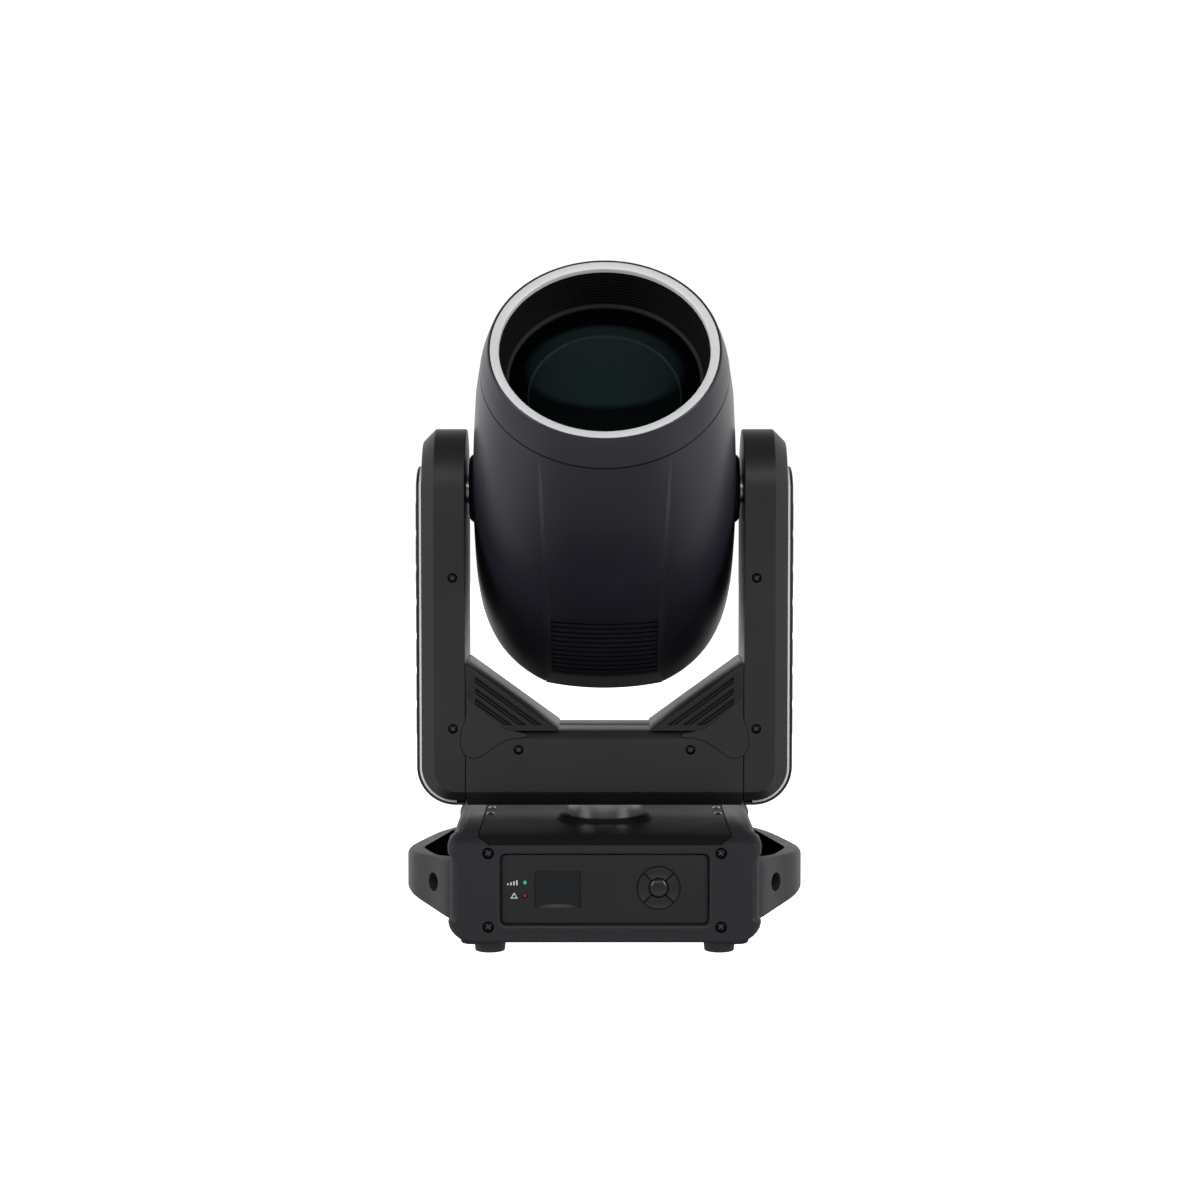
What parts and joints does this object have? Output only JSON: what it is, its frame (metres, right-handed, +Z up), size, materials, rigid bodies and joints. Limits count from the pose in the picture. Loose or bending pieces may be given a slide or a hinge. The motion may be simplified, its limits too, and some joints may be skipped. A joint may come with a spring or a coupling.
{
  "type": "moving head light",
  "caption": "Motorised stage light: a base with display, keys and handles, a yoke that pans on it, and a bullet-shaped head that tilts and holds the lens and lamp.",
  "frame": {"origin": "centre of the base plate's underside, on the pan axis; the feet reach 10.5 mm lower", "axes": "+Z up along the pan axis, -Y towards the front with the display and keys, +X to the right seen from the front"},
  "size_m": [0.358, 0.423, 0.6091],
  "materials": {
    "steel_plate": "zinc plated sheet",
    "base_casting": "fine textured black paint, satin",
    "base_cover": "satin black paint",
    "panel": "matt black overlay",
    "display_glass": "dark tinted window",
    "light_pipe": "clear moulded light pipe",
    "connector": "black connector body",
    "polished_metal": "turned and polished",
    "alloy": "machined alloy",
    "motor_black": "black lacquered steel",
    "belt_rubber": "toothed rubber belt",
    "silver_ring": "satin silver",
    "silver_trim": "pale satin strip",
    "hood_black": "matt black, ribbed",
    "lens_glass": "coated glass",
    "wheel_glass": "coated filter wheel",
    "fan_plastic": "black fan plastic",
    "handle_casting": "grey satin casting",
    "foot_rubber": "black rubber foot",
    "key_plastic": "soft black key",
    "arm_metal": "satin black painted alloy",
    "yoke_cover": "satin black moulding",
    "head_cover": "satin blue-black moulding"
  },
  "bodies": {
    "base": {"base_bottom_plate": "steel_plate", "base_housing": "base_casting", "top_cover_front": "base_cover", "top_cover_rear": "base_cover", "control_panel": "panel", "display_window": "display_glass", "status_light_pipe": "light_pipe", "rear_panel": "panel", "power_inlet": "connector", "signal_socket_in": "connector", "signal_socket_out": "connector", "power_supply": "steel_plate", "carry_handle_left": "handle_casting", "carry_handle_right": "handle_casting", "foot_front_left": "foot_rubber", "foot_front_right": "foot_rubber", "foot_rear_left": "foot_rubber", "foot_rear_right": "foot_rubber", "pan_tube": "polished_metal", "pan_collar": "base_cover", "pan_pulley": "alloy"},
    "button_up": {"button_up": "key_plastic"},
    "button_down": {"button_down": "key_plastic"},
    "button_left": {"button_left": "key_plastic"},
    "button_right": {"button_right": "key_plastic"},
    "button_enter": {"button_enter": "key_plastic"},
    "yoke": {"yoke_cross_plate": "steel_plate", "yoke_arm_plate_left": "arm_metal", "yoke_arm_plate_right": "arm_metal", "arm_cover_left": "yoke_cover", "arm_cover_right": "yoke_cover", "arm_side_cover_left": "yoke_cover", "arm_side_cover_right": "yoke_cover", "arm_trim_left": "silver_trim", "arm_trim_right": "silver_trim", "beam_cover_front": "yoke_cover", "beam_cover_rear": "yoke_cover", "gusset_cover_left": "yoke_cover", "gusset_cover_right": "yoke_cover", "pan_bearing": "steel_plate", "pan_motor": "motor_black", "pan_belt": "belt_rubber", "tilt_motor": "motor_black", "tilt_belt": "belt_rubber"},
    "pan_motor_shaft": {"pan_motor_pulley": "alloy"},
    "tilt_motor_shaft": {"tilt_motor_pulley": "alloy"},
    "head": {"head_cover_upper": "head_cover", "head_cover_lower": "head_cover", "nose_cover": "head_cover", "front_ring": "silver_ring", "lens_hood": "hood_black", "front_lens": "lens_glass", "head_chassis": "alloy", "lamp_module": "alloy", "tilt_axle_left": "polished_metal", "tilt_axle_right": "polished_metal"},
    "focus_carriage": {"focus_lens": "lens_glass"},
    "colour_wheel": {"colour_wheel": "wheel_glass"},
    "gobo_wheel": {"gobo_wheel": "steel_plate"},
    "fan_rotor": {"cooling_fan": "fan_plastic"}
  },
  "joints": [
    {"name": "pan", "type": "hinge", "parent": "base", "child": "yoke", "pos_m": [0, 0, 0], "axis": [0, 0, 1], "range_deg": [-270, 270]},
    {"name": "tilt", "type": "hinge", "parent": "yoke", "child": "head", "pos_m": [0, 0, 0.3975], "axis": [1, 0, 0], "range_deg": [-186.5, 83.5]},
    {"name": "press_up", "type": "slide", "parent": "base", "child": "button_up", "axis": [0, 1, 0], "range_m": [0, 0.001], "stiffness_N_per_m": 400, "springref_m": -0.0005},
    {"name": "press_down", "type": "slide", "parent": "base", "child": "button_down", "axis": [0, 1, 0], "range_m": [0, 0.001], "stiffness_N_per_m": 400, "springref_m": -0.0005},
    {"name": "press_left", "type": "slide", "parent": "base", "child": "button_left", "axis": [0, 1, 0], "range_m": [0, 0.001], "stiffness_N_per_m": 400, "springref_m": -0.0005},
    {"name": "press_right", "type": "slide", "parent": "base", "child": "button_right", "axis": [0, 1, 0], "range_m": [0, 0.001], "stiffness_N_per_m": 400, "springref_m": -0.0005},
    {"name": "press_enter", "type": "slide", "parent": "base", "child": "button_enter", "axis": [0, 1, 0], "range_m": [0, 0.001], "stiffness_N_per_m": 400, "springref_m": -0.0005},
    {"name": "pan_motor_turn", "type": "hinge", "parent": "yoke", "child": "pan_motor_shaft", "pos_m": [0.08, 0, 0], "axis": [0, 0, 1], "range_deg": [-1081, 1081]},
    {"name": "tilt_motor_turn", "type": "hinge", "parent": "yoke", "child": "tilt_motor_shaft", "pos_m": [0, 0, 0.15], "axis": [1, 0, 0], "range_deg": [-747, 335]},
    {"name": "focus", "type": "slide", "parent": "head", "child": "focus_carriage", "axis": [0, -0.7826, 0.6225], "range_m": [-0.03, 0.085]},
    {"name": "colour_wheel_turn", "type": "hinge", "parent": "head", "child": "colour_wheel", "pos_m": [0, 0.05966, 0.3986], "axis": [0, -0.7826, 0.6225], "continuous": true},
    {"name": "gobo_wheel_turn", "type": "hinge", "parent": "head", "child": "gobo_wheel", "pos_m": [0, 0.00452, 0.34535], "axis": [0, -0.7826, 0.6225], "continuous": true},
    {"name": "fan_spin", "type": "hinge", "parent": "head", "child": "fan_rotor", "pos_m": [0, 0.12835, 0.29541], "axis": [0, -0.7826, 0.6225], "continuous": true}
  ],
  "couplings": [
    {"joint": "pan_motor_turn", "follows": "pan", "ratio": -4},
    {"joint": "tilt_motor_turn", "follows": "tilt", "ratio": 4}
  ]
}
